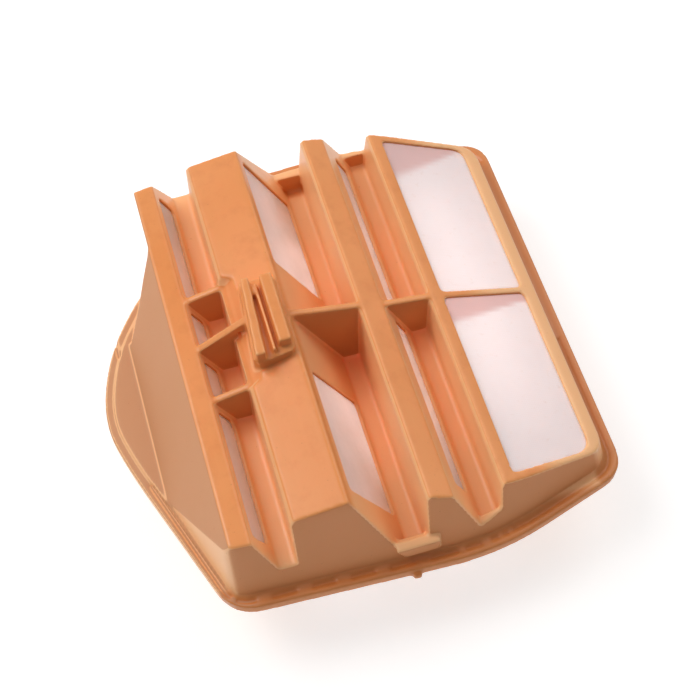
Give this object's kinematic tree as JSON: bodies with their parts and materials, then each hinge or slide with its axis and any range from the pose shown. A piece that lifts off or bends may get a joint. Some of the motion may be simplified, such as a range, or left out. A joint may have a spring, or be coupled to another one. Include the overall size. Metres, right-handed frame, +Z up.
{
  "type": "air filter housing",
  "caption": "Snap-together moulded air filter housing for a small two-stroke engine, with a ridged upper shell, nylon mesh windows, clip rails and a sealed round intake below.",
  "frame": {"origin": "under the middle of the housing, on the surface that the intake seal rests on", "axes": "+Z up out of the ridged side, +Y along the ridges towards the end where the bulge of the rim is cut away, +X across the ridges towards the square side"},
  "size_m": [0.0978, 0.103, 0.044],
  "materials": {
    "shell": "semi-gloss moulded nylon, orange",
    "mesh": "fine woven white nylon mesh",
    "seal": "matt black rubber"
  },
  "bodies": {
    "lower_half": {"lower_shell": "shell", "intake_seal": "seal", "mesh_floor_near_left": "mesh", "mesh_floor_near_right": "mesh", "mesh_floor_far_left": "mesh", "mesh_floor_far_right": "mesh", "mesh_floor_square_side": "mesh", "mesh_floor_round_side": "mesh", "mesh_wall_near_left": "mesh", "mesh_wall_near_right": "mesh", "mesh_wall_far_left": "mesh", "mesh_wall_far_right": "mesh"},
    "upper_half": {"upper_shell": "shell", "mesh_ridge1_near": "mesh", "mesh_ridge1_mid_near": "mesh", "mesh_ridge1_mid_far": "mesh", "mesh_ridge1_far": "mesh", "mesh_ridge2_near": "mesh", "mesh_ridge2_far": "mesh", "mesh_ridge3_near": "mesh", "mesh_ridge3_far": "mesh", "mesh_ridge4_near": "mesh", "mesh_ridge4_far": "mesh"}
  },
  "joints": [
    {"name": "upper_half_lift", "type": "slide", "parent": "lower_half", "child": "upper_half", "axis": [0, 0, 1], "range_m": [0, 0.04]}
  ]
}
